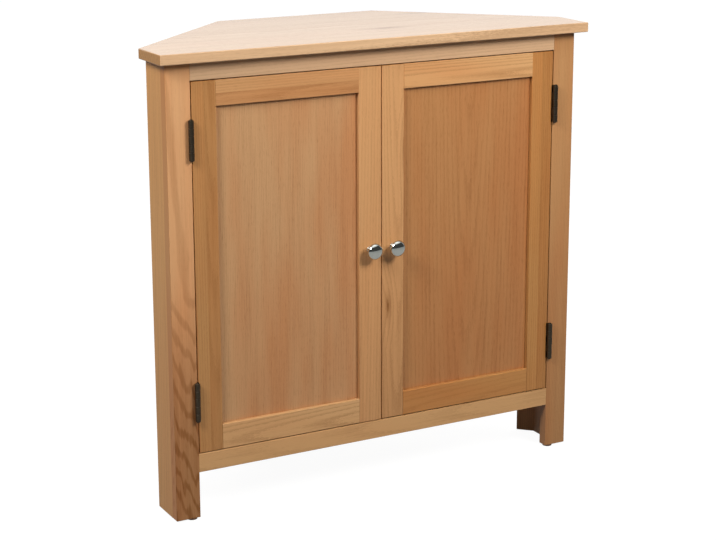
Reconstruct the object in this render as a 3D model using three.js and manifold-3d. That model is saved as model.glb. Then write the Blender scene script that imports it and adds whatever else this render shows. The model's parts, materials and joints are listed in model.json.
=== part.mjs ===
// Corner cupboard in solid oak. A six-sided top sits on a mitred five-sided carcass that fits
// a room's corner. Two framed doors hang on knuckled butt hinges, and one loose shelf lies on pins.
// Millimetres, +Z up, the doors face -Y. The origin is on the floor, in the middle of the
// outer width and of the outer depth, knobs included.
import * as THREE from "three";
import { mergeVertices } from "three/addons/utils/BufferGeometryUtils.js";
import Module from "manifold-3d";

const wasm = await Module();
wasm.setup();

// Driving sizes of the whole cupboard
const totalHeight = 780;
const topWidth = 800;
const topDepth = 335;
const topEndDepth = 89; // straight end of the top, before it turns along the room's wall
const topThickness = 17;
const topArrisRadius = 1.5; // rounding of the top's edges
const frontOverhangDepth = 20;
const sideOverhangWidth = 15;
const wallOverhangWidth = 5; // how far the top reaches past the walls and the back

// Carcass boards
const frameThickness = 18;
const stileWidth = 42;
const topRailHeight = 30;
const bottomRailHeight = 32;
const toeHeight = 82; // floor to the underside of the bottom rail
const sideThickness = 18;
const wallThickness = 15;
const floorThickness = 15;
const shelfThickness = 15;
const cleatWidth = 18;
const cleatEndGap = 50; // from the wall's inner corners to the ends of a cleat

// Feet under the slanting walls
const frontFootWidth = 32; // along the wall, from its inner corner
const backFootWidth = 46;
const archHeight = 76; // floor to the top of the cut between the feet
const archRadius = 12;

// Joints between boards
const glueGap = 0.1;
const mitreGap = 0.2;
const turnedGap = 0.3; // between a wall and what is fixed along it
const tenonLength = 20;
const tenonThickness = 6;
const tenonShoulderWidth = 5;
const tenonSideGap = 0.2;

// Doors
const sideGap = 1.6;
const centreGap = 1.8;
const endGap = 1.5; // above and below a door
const doorThickness = 18;
const doorStileWidth = 42;
const doorTopRailHeight = 42;
const doorBottomRailHeight = 43;
const panelThickness = 6;
const panelSetbackDepth = 7; // from the door's face to the panel's
const panelEdgeGap = 1; // room for the panel to swell in its groove
const grooveDepth = 9;
const grooveSideGap = 0.2;

// Hinges
const hingeLength = 65;
const upperHingeEndGap = 60; // from the door's top edge to the hinge
const lowerHingeEndGap = 57; // from the door's bottom edge to the hinge
const knuckleRadius = 4.5;
const knuckleCount = 5;
const knuckleGap = 0.3;
const knuckleFaceGap = 0.2; // between the barrel and the face of the wood
const leafThickness = 1.2;
const leafDepth = 13;
const leafFaceGap = 0.1;
const pinRadius = 1.7;
const pinFitGap = 0.08;
const pinHeadRadius = 2.8;
const pinHeadHeight = 1.4;
const pinHeadGap = 0.2;
const hingeSides = 18;

// Knobs and their screws
const knobDropHeight = 2.5; // from the middle of the door's height down to the knob
const knobLength = 25;
const knobHeadRadius = 14;
const knobRimHeight = 17; // door's face to the widest ring of the head
const knobUnderHeight = 4; // height of the curve below that ring
const knobNeckRadius = 4.2;
const knobNeckHeight = 8;
const knobBaseRadius = 6.5;
const knobBaseHeight = 1.5;
const knobSides = 24;
const curveSteps = 5;
const screwRadius = 2;
const screwFitGap = 0.3;
const screwGripLength = 8; // length of thread inside the knob
const screwHeadRadius = 4.2;
const screwHeadHeight = 2.4;
const screwSides = 14;

// Shelf and its pins
const shelfRiseHeight = 301; // from the floor board up to the shelf's underside
const shelfFrontGap = 22; // from the back of the doors to the shelf's front edge
const shelfEdgeGap = 2.5;
const shelfPinRadius = 2.5;
const shelfPinEmbedLength = 9;
const shelfPinReachLength = 10;
const shelfPinFitGap = 0.2;
const shelfPinSeatGap = 0.1;
const pinCollarRadius = 3.8;
const pinCollarThickness = 1.2;
const frontPinSetbackDepth = 34; // from the back of the face frame to the front pins
const backPinInsetLength = 45; // from the back's inner corner to a back pin

// Magnetic catches
const catchSideGap = 4; // narrower than the stile it stands behind, at each side
const catchDepth = 17;
const catchHeight = 13;
const magnetWidth = 22;
const magnetHeight = 7;
const magnetDepth = 4;
const magnetFitGap = 0.2;
const strikeThickness = 1;
const strikeHeight = 11;
const strikeTopGap = 0.8; // below the door's top edge
const strikeGap = 0.4; // between strike and catch
const strikeHoleRadius = 1.6;

// Glides
const glideRadius = 8.5;
const glideHeight = 3.5;
const glideRoundRadius = 1;
const backGlideRadius = 6.5;
const glideInsetWidth = 11; // from the leg's inner edge to the glide's middle
const glideSides = 16;
const glideRoundSteps = 2;

const extraLength = 5; // how far a cutting shape runs past what it cuts

// Places that follow from the sizes above
const diagonal = Math.SQRT2;
const knobProud = knobLength + glueGap - frontOverhangDepth;
const topFront = (knobProud - topDepth) / 2;
const topBack = topFront + topDepth;
const topHalf = topWidth / 2;
const topSum = topHalf + topFront + topEndDepth; // x + y along the top's slanting edge
const underTop = totalHeight - topThickness;
const frontFace = topFront + frontOverhangDepth;
const frameBack = frontFace + frameThickness;
const outerX = topHalf - sideOverhangWidth;
const innerX = outerX - sideThickness;
const outerSum = topSum - wallOverhangWidth * diagonal;
const innerSum = outerSum - wallThickness * diagonal;
const outerBack = topBack - wallOverhangWidth;
const innerBack = outerBack - wallThickness;
const openHalf = outerX - stileWidth;
const openBottom = toeHeight + bottomRailHeight;
const openTop = underTop - topRailHeight;
const boardTop = underTop - glueGap;
const railMiddle = frontFace + frameThickness / 2;
const doorBottom = openBottom + endGap;
const doorTop = openTop - endGap;
const doorOuter = openHalf - sideGap;
const doorInner = centreGap / 2;
const hingeX = doorOuter - leafThickness + knuckleRadius;
const faceSet = knuckleRadius + knuckleFaceGap; // hinge axis to the wood's face
const hingeY = frontFace - faceSet;
const upperHingeBase = doorTop - upperHingeEndGap - hingeLength;
const lowerHingeBase = doorBottom + lowerHingeEndGap;
const knobX = doorInner + doorStileWidth / 2;
const knobHeight = (doorBottom + doorTop) / 2 - knobDropHeight;
const grooveWidth = panelThickness + 2 * grooveSideGap;
const wallInnerEnd = innerSum - innerBack; // x of the corner between wall and back, inside
const wallInnerLength = (innerX - wallInnerEnd) * diagonal;
const shelfHeight = openBottom + shelfRiseHeight;
const backPinX = wallInnerEnd - backPinInsetLength;
const frontPinY = frameBack + frontPinSetbackDepth;
const catchWidth = doorStileWidth - 2 * catchSideGap;
const catchTop = openTop - glueGap;
const catchMiddle = catchTop - catchHeight / 2;
const catchFront = frameBack + strikeThickness + strikeGap;
const shelfPinZ = shelfHeight - shelfPinSeatGap - shelfPinRadius;

// Finishes
const finishes = {
  oak: { color: 0xb98a5c, roughness: 0.5, metalness: 0 },
  oakTop: { color: 0xe2c7a6, roughness: 0.5, metalness: 0 },
  oakVeneer: { color: 0xb0794d, roughness: 0.5, metalness: 0 },
  chrome: { color: 0xd6d8da, roughness: 0.12, metalness: 1 },
  bronze: { color: 0x3a2c1c, roughness: 0.45, metalness: 1 },
  zinc: { color: 0xa8abad, roughness: 0.4, metalness: 1 },
  plastic: { color: 0x6a4a30, roughness: 0.6, metalness: 0 },
  magnet: { color: 0x2b2b2e, roughness: 0.6, metalness: 0.3 },
};

function piece(name, finish, geometry) {
  const material = new THREE.MeshStandardMaterial(finishes[finish]);
  const mesh = new THREE.Mesh(geometry, material);
  mesh.name = name;
  return mesh;
}

// Solid operations
function toSolid(geometry) {
  const bare = geometry.clone();
  bare.deleteAttribute("normal");
  bare.deleteAttribute("uv");
  const merged = mergeVertices(bare);
  return new wasm.Manifold(
    new wasm.Mesh({
      numProp: 3,
      vertProperties: new Float32Array(merged.attributes.position.array),
      triVerts: new Uint32Array(merged.index.array),
    })
  );
}

function toGeometry(solid) {
  const mesh = solid.getMesh();
  const geometry = new THREE.BufferGeometry();
  geometry.setAttribute("position", new THREE.BufferAttribute(mesh.vertProperties, 3));
  geometry.setIndex(new THREE.BufferAttribute(mesh.triVerts, 1));
  geometry.computeVertexNormals();
  return geometry;
}

function join(shapes) {
  let solid = toSolid(shapes[0]);
  for (const shape of shapes.slice(1)) {
    solid = solid.add(toSolid(shape));
  }
  return toGeometry(solid);
}

function cut(body, tools) {
  let solid = toSolid(body);
  for (const tool of tools) {
    solid = solid.subtract(toSolid(tool));
  }
  return toGeometry(solid);
}

// Basic forms. A range is a pair of ends, in any order.
function block(xs, ys, zs) {
  const [width, depth, height] = [xs, ys, zs].map(([a, b]) => Math.abs(b - a));
  const [x, y, z] = [xs, ys, zs].map(([a, b]) => (a + b) / 2);
  return new THREE.BoxGeometry(width, depth, height).translate(x, y, z);
}

function prism(shape, bottom, top) {
  const options = { depth: top - bottom, bevelEnabled: false };
  return new THREE.ExtrudeGeometry(shape, options).translate(0, 0, bottom);
}

function uprightRod(radius, bottom, top, sides) {
  const rod = new THREE.CylinderGeometry(radius, radius, top - bottom, sides);
  return rod.rotateX(Math.PI / 2).translate(0, 0, (bottom + top) / 2);
}

function outline(points) {
  return new THREE.Shape(points.map(([x, y]) => new THREE.Vector2(x, y)));
}

function turned(points, sides) {
  const profile = points.map(([radius, along]) => new THREE.Vector2(radius, along));
  return new THREE.LatheGeometry(profile, sides);
}

function span(middle, size) {
  return [middle - size / 2, middle + size / 2];
}

// Six-sided plan between the front, the ends, the slanting walls (x + y = sum) and the back
function cornerPlan(front, halfWidth, sum, back) {
  return outline([
    [-halfWidth, front],
    [halfWidth, front],
    [halfWidth, sum - halfWidth],
    [sum - back, back],
    [back - sum, back],
    [-halfWidth, sum - halfWidth],
  ]);
}

function insidePlan(front, clearance) {
  const sum = innerSum - clearance * diagonal;
  return cornerPlan(front, innerX - clearance, sum, innerBack - clearance);
}

function mirrored(points, side) {
  return points.map(([x, y]) => [x * side, y]);
}

// Top board with rounded edges
function topBoard() {
  const plan = cornerPlan(topFront, topHalf, topSum, topBack);
  const board = new THREE.ExtrudeGeometry(plan, {
    depth: topThickness - 2 * topArrisRadius,
    bevelThickness: topArrisRadius,
    bevelSize: topArrisRadius,
    bevelOffset: -topArrisRadius,
    bevelSegments: 3,
  });
  return piece("top_board", "oakTop", board.translate(0, 0, underTop + topArrisRadius));
}

// Face frame
function railTenon(side, bottom, top, clearance) {
  const xs = [side * (openHalf - extraLength), side * (openHalf + tenonLength + clearance)];
  const ys = span(railMiddle, tenonThickness + 2 * clearance);
  const shoulder = tenonShoulderWidth - clearance;
  return block(xs, ys, [bottom + shoulder, top - shoulder]);
}

// Recesses for both hinge leaves, open to the front of a stile whose face is at y = face
function hingeRecesses(xs, face) {
  const ys = [face - extraLength, face + leafDepth + leafFaceGap];
  return [upperHingeBase, lowerHingeBase].map((base) =>
    block(xs, ys, [base - leafFaceGap, base + hingeLength + leafFaceGap])
  );
}

function frontStile(name, side) {
  const body = block([side * openHalf, side * outerX], [frontFace, frameBack], [glideHeight, boardTop]);
  const recessEnd = openHalf + leafThickness + leafFaceGap;
  return piece(name, "oak", cut(body, [
    railTenon(side, openTop, boardTop, tenonSideGap),
    railTenon(side, toeHeight, openBottom, tenonSideGap),
    ...hingeRecesses([side * (openHalf - extraLength), side * recessEnd], frontFace),
  ]));
}

function frontRail(name, bottom, top) {
  const half = openHalf - glueGap;
  const body = block([-half, half], [frontFace, frameBack], [bottom, top]);
  const tenons = [-1, 1].map((side) => railTenon(side, bottom, top, 0));
  return piece(name, "oak", join([body, ...tenons]));
}

// Hole for a shelf pin, lying along Y in a board whose inner face is at y = 0
function pinHole() {
  const radius = shelfPinRadius + shelfPinFitGap;
  const length = 2 * (shelfPinEmbedLength + shelfPinFitGap);
  return new THREE.CylinderGeometry(radius, radius, length, screwSides);
}

// Sides, slanting walls and back, mitred to each other
function sideBoard(name, side) {
  const turn = outerSum - outerX - mitreGap;
  const innerTurn = innerSum - innerX - mitreGap;
  const front = frameBack + glueGap;
  const plan = [[outerX, front], [outerX, turn], [innerX, innerTurn], [innerX, front]];
  const body = prism(outline(mirrored(plan, side)), glideHeight, boardTop);
  const hole = pinHole().rotateZ(Math.PI / 2).translate(side * innerX, frontPinY, shelfPinZ);
  return piece(name, "oak", cut(body, [hole]));
}

// Cut between the two feet of a slanting wall, across its thickness
function footArch(side) {
  const half = (wallInnerLength - frontFootWidth - backFootWidth) / 2;
  const shape = new THREE.Shape();
  shape.moveTo(-half, -extraLength);
  shape.lineTo(half, -extraLength);
  shape.lineTo(half, archHeight - archRadius);
  shape.absarc(half - archRadius, archHeight - archRadius, archRadius, 0, Math.PI / 2);
  shape.absarc(archRadius - half, archHeight - archRadius, archRadius, Math.PI / 2, Math.PI);
  const depth = 2 * (wallThickness + extraLength);
  const options = { depth, bevelEnabled: false, curveSegments: curveSteps };
  const arch = new THREE.ExtrudeGeometry(shape, options).translate(0, 0, -depth / 2);
  const along = (frontFootWidth + half) / diagonal;
  arch.rotateX(Math.PI / 2).rotateZ((-side * Math.PI) / 4);
  return arch.translate(side * (innerX - along), innerSum - innerX + along, 0);
}

function wallPanel(name, side) {
  const step = mitreGap / diagonal;
  const plan = [
    [outerX, outerSum - outerX],
    [outerSum - outerBack + step, outerBack - step],
    [wallInnerEnd + step, innerBack - step],
    [innerX, innerSum - innerX],
  ];
  const body = prism(outline(mirrored(plan, side)), glideHeight, boardTop);
  return piece(name, "oak", cut(body, [footArch(side)]));
}

function backPanel() {
  const outerHalf = outerSum - outerBack;
  const plan = outline([
    [-wallInnerEnd, innerBack],
    [wallInnerEnd, innerBack],
    [outerHalf, outerBack],
    [-outerHalf, outerBack],
  ]);
  const holes = [-1, 1].map((side) => pinHole().translate(side * backPinX, innerBack, shelfPinZ));
  return piece("back_panel", "oak", cut(prism(plan, toeHeight, boardTop), holes));
}

// Floor of the cupboard and the loose shelf
function floorBoard() {
  const plan = insidePlan(frameBack + glueGap, turnedGap);
  return piece("floor_board", "oak", prism(plan, openBottom - floorThickness, openBottom));
}

function shelf() {
  const plan = insidePlan(frontFace + doorThickness + shelfFrontGap, shelfEdgeGap);
  return piece("shelf", "oak", prism(plan, shelfHeight, shelfHeight + shelfThickness));
}

// Cleats that carry the floor board and hold the top
function wallCleat(name, side, top) {
  const length = wallInnerLength - 2 * cleatEndGap;
  const mesh = piece(name, "oak", new THREE.BoxGeometry(length, cleatWidth, cleatWidth));
  const middleX = (innerX + wallInnerEnd) / 2;
  const inset = (cleatWidth / 2 + turnedGap) / diagonal;
  mesh.position.set(side * (middleX - inset), innerSum - middleX - inset, top - cleatWidth / 2);
  mesh.rotation.z = (-side * Math.PI) / 4;
  return mesh;
}

function backCleat(name, top) {
  const half = wallInnerEnd - cleatEndGap;
  const rear = innerBack - turnedGap;
  return piece(name, "oak", block([-half, half], [rear - cleatWidth, rear], [top - cleatWidth, top]));
}

function frontCleat() {
  const half = innerX - turnedGap;
  const front = frameBack + glueGap;
  const geometry = block([-half, half], [front, front + cleatWidth], [openTop, boardTop]);
  return piece("top_cleat_front", "oak", geometry);
}

// Shelf pin with a collar, lying along Y with its tip towards +Y before it is turned
function shelfPin(name, x, y, turn) {
  const collarStart = shelfPinEmbedLength + shelfPinSeatGap;
  const geometry = turned([
    [0, 0],
    [shelfPinRadius, 0],
    [shelfPinRadius, collarStart],
    [pinCollarRadius, collarStart],
    [pinCollarRadius, collarStart + pinCollarThickness],
    [shelfPinRadius, collarStart + pinCollarThickness],
    [shelfPinRadius, shelfPinEmbedLength + shelfPinReachLength],
    [0, shelfPinEmbedLength + shelfPinReachLength],
  ], screwSides);
  const mesh = piece(name, "zinc", geometry.translate(0, -shelfPinEmbedLength, 0));
  mesh.position.set(x, y, shelfPinZ);
  mesh.rotation.z = turn;
  return mesh;
}

// Magnetic catches under the front cleat
function catchHousing(name, side) {
  const ys = [catchFront, catchFront + catchDepth];
  const body = block(span(side * knobX, catchWidth), ys, span(catchMiddle, catchHeight));
  const pocket = block(
    span(side * knobX, magnetWidth + 2 * magnetFitGap),
    [catchFront - extraLength, catchFront + magnetDepth + magnetFitGap],
    span(catchMiddle, magnetHeight + 2 * magnetFitGap)
  );
  return piece(name, "plastic", cut(body, [pocket]));
}

function catchMagnet(name, side) {
  const ys = [catchFront, catchFront + magnetDepth];
  const geometry = block(span(side * knobX, magnetWidth), ys, span(catchMiddle, magnetHeight));
  return piece(name, "magnet", geometry);
}

// Glide under a foot, a turned disc with a rounded lower edge
function glide(name, x, y, radius) {
  const edge = new THREE.Path();
  edge.absarc(radius - glideRoundRadius, glideRoundRadius, glideRoundRadius, -Math.PI / 2, 0);
  const round = edge.getPoints(glideRoundSteps).map((point) => [point.x, point.y]);
  const top = glideHeight - glueGap;
  const geometry = turned([[0, 0], ...round, [radius, top], [0, top]], glideSides);
  const mesh = piece(name, "plastic", geometry.rotateX(Math.PI / 2));
  mesh.position.set(x, y, 0);
  return mesh;
}

function glides() {
  const frontX = openHalf + glideInsetWidth;
  const footMiddle = backFootWidth / 2 / diagonal;
  const wallMiddle = wallThickness / 2 / diagonal;
  const backX = wallInnerEnd + footMiddle + wallMiddle;
  const backY = innerBack - footMiddle + wallMiddle;
  return [
    glide("left_front_glide", -frontX, railMiddle, glideRadius),
    glide("right_front_glide", frontX, railMiddle, glideRadius),
    glide("left_back_glide", -backX, backY, backGlideRadius),
    glide("right_back_glide", backX, backY, backGlideRadius),
  ];
}

// Door, in a group whose origin is on the hinge axis at floor level. Distances run from that
// axis towards the middle of the cupboard.
const doorStart = hingeX - doorOuter;
const doorEnd = hingeX - doorInner;
const panelStart = doorStart + doorStileWidth;
const panelEnd = doorEnd - doorStileWidth;
const panelBottom = doorBottom + doorBottomRailHeight;
const panelTop = doorTop - doorTopRailHeight;
const doorFace = faceSet;
const doorBack = faceSet + doorThickness;
const grooveMiddle = doorFace + panelSetbackDepth + panelThickness / 2;
const knobInsetWidth = hingeX - knobX;

function across(side, from, to) {
  return [-side * from, -side * to];
}

function panelGroove(xs, zs) {
  return block(xs, span(grooveMiddle, grooveWidth), zs);
}

function doorHingeStile(side, label) {
  const body = block(across(side, doorStart, panelStart), [doorFace, doorBack], [doorBottom, doorTop]);
  const grooveXs = across(side, panelStart - grooveDepth, panelStart + extraLength);
  const groove = panelGroove(grooveXs, [doorBottom - extraLength, doorTop + extraLength]);
  const recessXs = across(side, doorStart - extraLength, doorStart + leafThickness + leafFaceGap);
  const tools = [groove, ...hingeRecesses(recessXs, doorFace)];
  return piece(`${label}_door_hinge_stile`, "oak", cut(body, tools));
}

function doorMeetingStile(side, label) {
  const body = block(across(side, panelEnd, doorEnd), [doorFace, doorBack], [doorBottom, doorTop]);
  const grooveXs = across(side, panelEnd - extraLength, panelEnd + grooveDepth);
  const groove = panelGroove(grooveXs, [doorBottom - extraLength, doorTop + extraLength]);
  const radius = screwRadius + screwFitGap;
  const hole = new THREE.CylinderGeometry(radius, radius, doorThickness + 2 * extraLength, screwSides);
  hole.translate(-side * knobInsetWidth, (doorFace + doorBack) / 2, knobHeight);
  return piece(`${label}_door_meeting_stile`, "oak", cut(body, [groove, hole]));
}

function doorRail(side, name, bottom, top, grooveZs) {
  const shoulders = across(side, panelStart + glueGap, panelEnd - glueGap);
  const body = block(shoulders, [doorFace, doorBack], [bottom, top]);
  const reach = grooveDepth - panelEdgeGap;
  const tongue = block(
    across(side, panelStart - reach, panelEnd + reach),
    span(grooveMiddle, panelThickness),
    [bottom, top]
  );
  const grooveReach = grooveDepth + extraLength;
  const grooveXs = across(side, panelStart - grooveReach, panelEnd + grooveReach);
  return piece(name, "oak", cut(join([body, tongue]), [panelGroove(grooveXs, grooveZs)]));
}

function doorPanel(side, label) {
  const reach = grooveDepth - panelEdgeGap;
  const xs = across(side, panelStart - reach, panelEnd + reach);
  const ys = span(grooveMiddle, panelThickness);
  return piece(`${label}_door_panel`, "oakVeneer", block(xs, ys, [panelBottom - reach, panelTop + reach]));
}

function strikePlate(side, label) {
  const ys = [doorBack + glueGap, doorBack + strikeThickness];
  const plateTop = doorTop - strikeTopGap;
  const xs = across(side, ...span(knobInsetWidth, catchWidth));
  const body = block(xs, ys, [plateTop - strikeHeight, plateTop]);
  const length = strikeThickness + 2 * extraLength;
  const hole = new THREE.CylinderGeometry(strikeHoleRadius, strikeHoleRadius, length, screwSides);
  hole.translate(-side * knobInsetWidth, doorBack, plateTop - strikeHeight / 2);
  return piece(`${label}_strike_plate`, "zinc", cut(body, [hole]));
}

// Turned knob with a threaded socket, standing on the door's face
function knob(side, label) {
  const socketRadius = screwRadius + screwFitGap;
  const socketDepth = screwGripLength + screwFitGap;
  const domeHeight = knobLength - knobRimHeight;
  const rimBase = knobRimHeight - knobUnderHeight;
  const path = new THREE.Path();
  path.moveTo(knobBaseRadius, 0);
  path.lineTo(knobBaseRadius, knobBaseHeight);
  path.quadraticCurveTo(knobNeckRadius, knobBaseHeight, knobNeckRadius, knobNeckHeight);
  path.quadraticCurveTo(knobNeckRadius, rimBase, knobHeadRadius - knobUnderHeight, rimBase);
  path.quadraticCurveTo(knobHeadRadius, rimBase, knobHeadRadius, knobRimHeight);
  path.absellipse(0, knobRimHeight, knobHeadRadius, domeHeight, 0, Math.PI / 2);
  const skin = path.getPoints(curveSteps).map((point) => [point.x, point.y]);
  const last = skin.length - 1;
  skin[last] = [0, knobLength];
  const socket = [[0, socketDepth], [socketRadius, socketDepth], [socketRadius, 0]];
  const geometry = turned([...socket, ...skin], knobSides).rotateX(Math.PI);
  const mesh = piece(`${label}_knob`, "chrome", geometry);
  mesh.position.set(-side * knobInsetWidth, doorFace - glueGap, knobHeight);
  return mesh;
}

function knobScrew(side, label) {
  const seat = screwHeadHeight + glueGap;
  const tip = seat + doorThickness + screwGripLength;
  const geometry = turned([
    [0, 0],
    [screwHeadRadius, 0],
    [screwHeadRadius, screwHeadHeight],
    [screwRadius, screwHeadHeight],
    [screwRadius, tip],
    [0, tip],
  ], screwSides);
  const mesh = piece(`${label}_knob_screw`, "zinc", geometry.rotateX(Math.PI));
  mesh.position.set(-side * knobInsetWidth, doorBack + seat, knobHeight);
  return mesh;
}

function door(side, label) {
  const group = new THREE.Group();
  const groovedBottom = [panelBottom - grooveDepth, panelBottom + extraLength];
  const groovedTop = [panelTop - extraLength, panelTop + grooveDepth];
  group.add(
    doorHingeStile(side, label),
    doorMeetingStile(side, label),
    doorRail(side, `${label}_door_top_rail`, panelTop, doorTop, groovedTop),
    doorRail(side, `${label}_door_bottom_rail`, doorBottom, panelBottom, groovedBottom),
    doorPanel(side, label),
    strikePlate(side, label),
    knob(side, label),
    knobScrew(side, label)
  );
  group.position.set(side * hingeX, hingeY, 0);
  return group;
}

// Butt hinge, in a group whose origin is on its axis at its lower end. The frame leaf has the
// odd knuckles and the door leaf the even ones, and the pin runs through all of them.
const knucklePitch = hingeLength / knuckleCount;

function hingeLeaf(name, side, from, to, firstKnuckle) {
  const xs = across(side, from, to);
  const shapes = [block(xs, [faceSet, faceSet + leafDepth], [0, hingeLength])];
  for (let index = firstKnuckle; index < knuckleCount; index += 2) {
    const bottom = index * knucklePitch + (index === 0 ? 0 : knuckleGap / 2);
    const top = (index + 1) * knucklePitch - (index === knuckleCount - 1 ? 0 : knuckleGap / 2);
    shapes.push(uprightRod(knuckleRadius, bottom, top, hingeSides));
    shapes.push(block(xs, [0, faceSet + leafDepth / 2], [bottom, top]));
  }
  const boreRadius = (pinRadius + pinFitGap) / Math.cos(Math.PI / hingeSides);
  const bore = uprightRod(boreRadius, -extraLength, hingeLength + extraLength, hingeSides);
  return piece(name, "bronze", cut(join(shapes), [bore]));
}

function hingePin(name) {
  const start = -pinHeadGap;
  const end = hingeLength + pinHeadGap;
  const geometry = turned([
    [0, start - pinHeadHeight],
    [pinRadius, start - pinHeadHeight],
    [pinHeadRadius, start - pinHeadHeight / 2],
    [pinHeadRadius, start],
    [pinRadius, start],
    [pinRadius, end],
    [pinHeadRadius, end],
    [pinHeadRadius, end + pinHeadHeight / 2],
    [pinRadius, end + pinHeadHeight],
    [0, end + pinHeadHeight],
  ], hingeSides);
  return piece(name, "bronze", geometry.rotateX(Math.PI / 2));
}

function hinge(side, label, base) {
  const group = new THREE.Group();
  const stileEdge = hingeX - openHalf;
  group.add(
    hingeLeaf(`${label}_hinge_frame_leaf`, side, stileEdge - leafThickness, stileEdge, 0),
    hingeLeaf(`${label}_hinge_door_leaf`, side, doorStart, doorStart + leafThickness, 1),
    hingePin(`${label}_hinge_pin`)
  );
  group.position.set(side * hingeX, hingeY, base);
  return group;
}

// Assembly
const cupboard = new THREE.Group();
cupboard.add(topBoard(), floorBoard(), shelf(), backPanel(), frontCleat());
cupboard.add(frontRail("front_top_rail", openTop, boardTop));
cupboard.add(frontRail("front_bottom_rail", toeHeight, openBottom));
cupboard.add(backCleat("top_cleat_back", boardTop));
cupboard.add(backCleat("floor_cleat_back", openBottom - floorThickness - glueGap));
cupboard.add(...glides());
for (const [side, label] of [[-1, "left"], [1, "right"]]) {
  cupboard.add(
    frontStile(`${label}_front_stile`, side),
    sideBoard(`${label}_side_board`, side),
    wallPanel(`${label}_wall_panel`, side),
    wallCleat(`top_cleat_${label}`, side, boardTop),
    wallCleat(`floor_cleat_${label}`, side, openBottom - floorThickness - glueGap),
    catchHousing(`${label}_catch_housing`, side),
    catchMagnet(`${label}_catch_magnet`, side),
    shelfPin(`${label}_front_shelf_pin`, side * innerX, frontPinY, (side * Math.PI) / 2),
    shelfPin(`${label}_back_shelf_pin`, side * backPinX, innerBack, Math.PI),
    door(side, label),
    hinge(side, `${label}_upper`, upperHingeBase),
    hinge(side, `${label}_lower`, lowerHingeBase)
  );
}

export default cupboard;
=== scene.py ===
# %% [markdown]
# # Oak corner cupboard
# The cupboard stands across a room's corner: a six-sided top, a five-sided case of solid oak and
# two framed doors with chrome knobs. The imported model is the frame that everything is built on. It
# gives each piece its place and each door its hinge, so this script only makes the pieces look like
# wood, steel, chrome and plastic, and never moves them.

import json
from math import pi, radians

import bmesh
import bpy
from mathutils import Euler, Matrix, Vector
from mathutils.bvhtree import BVHTree
from mathutils.geometry import interpolate_bezier

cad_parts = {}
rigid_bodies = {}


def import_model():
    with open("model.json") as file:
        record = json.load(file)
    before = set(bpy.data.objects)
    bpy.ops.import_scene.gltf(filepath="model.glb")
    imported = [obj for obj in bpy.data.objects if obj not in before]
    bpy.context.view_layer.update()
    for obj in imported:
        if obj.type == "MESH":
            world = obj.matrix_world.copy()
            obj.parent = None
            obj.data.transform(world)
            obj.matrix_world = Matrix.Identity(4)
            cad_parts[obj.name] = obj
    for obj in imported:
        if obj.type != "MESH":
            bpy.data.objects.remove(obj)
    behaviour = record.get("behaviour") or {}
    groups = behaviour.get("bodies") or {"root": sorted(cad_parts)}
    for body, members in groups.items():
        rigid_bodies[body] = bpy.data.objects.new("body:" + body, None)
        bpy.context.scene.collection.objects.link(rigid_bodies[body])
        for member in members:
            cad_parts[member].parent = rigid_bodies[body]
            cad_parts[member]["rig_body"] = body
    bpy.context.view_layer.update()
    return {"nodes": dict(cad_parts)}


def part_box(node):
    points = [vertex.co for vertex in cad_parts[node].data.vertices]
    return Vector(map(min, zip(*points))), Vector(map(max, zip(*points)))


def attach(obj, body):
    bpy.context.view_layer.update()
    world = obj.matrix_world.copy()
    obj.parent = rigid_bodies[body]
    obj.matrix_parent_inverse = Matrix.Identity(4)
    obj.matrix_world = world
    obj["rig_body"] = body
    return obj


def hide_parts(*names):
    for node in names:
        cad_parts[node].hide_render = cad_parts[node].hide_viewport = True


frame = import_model()
scene = bpy.context.scene
MM = 0.001
SIDES = {"left": -1, "right": 1}  # which way each side lies along X

# %% [markdown]
# ## Camera
# A photograph of furniture is usually taken from a few metres away with a long lens. The place and
# the turn of this camera were fitted to the corners of the doors and the top. A small shift lets
# the uprights converge a little less, as an architect's camera does.

# %% Camera
CAMERA_PLACE = Vector((-1.4279, -2.7023, 1.1814))
CAMERA_YAW, CAMERA_PITCH, CAMERA_ROLL = radians(28.40), radians(-13.66), radians(-0.15)
FOCAL_LENGTH, FILM_WIDTH = 89.99, 36
SHIFT_DOTS, PICTURE_DOTS = -50, 716
camera_data = bpy.data.cameras.new("camera")
camera_data.lens = FOCAL_LENGTH
camera_data.sensor_width = FILM_WIDTH
camera_data.shift_y = SHIFT_DOTS / PICTURE_DOTS
camera = bpy.data.objects.new("camera", camera_data)
scene.collection.objects.link(camera)
aim = Euler((pi / 2 + CAMERA_PITCH, 0, -CAMERA_YAW)).to_matrix()
camera.location = CAMERA_PLACE
camera.rotation_euler = (aim @ Matrix.Rotation(CAMERA_ROLL, 3, "Z")).to_euler()
scene.camera = camera
print("camera is", round(CAMERA_PLACE.length, 2), "m from the middle of the floor")

# %% [markdown]
# ## Helpers for meshes
# Wood is never sharp. A joiner takes the arris off every edge with a block plane, and that narrow
# rounded edge is what catches the light. A board's shape is already in the frame, so a merged copy
# of its mesh is beveled. Only the new narrow faces are shaded smooth, because a broad flat face
# that borrows its neighbours' normals would look pillowed.

# %% Mesh helpers
SAME_POINT = 0.002 * MM
FLAT, ARRIS_ANGLE = radians(1), radians(25)


def body_of(node):
    """The body that carries a node."""
    return frame["nodes"][node]["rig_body"]


def keep(bm, node, ending, material, takes_place=True):
    """Turns a bmesh into a piece with a node's body and the given material, which may stand for that
    node.
    """
    mesh = bpy.data.meshes.new(node + ending)
    bm.to_mesh(mesh)
    bm.free()
    piece = bpy.data.objects.new(node + ending, mesh)
    scene.collection.objects.link(piece)
    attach(piece, body_of(node))
    if takes_place:
        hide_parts(node)
    mesh.materials.append(material)


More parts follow.
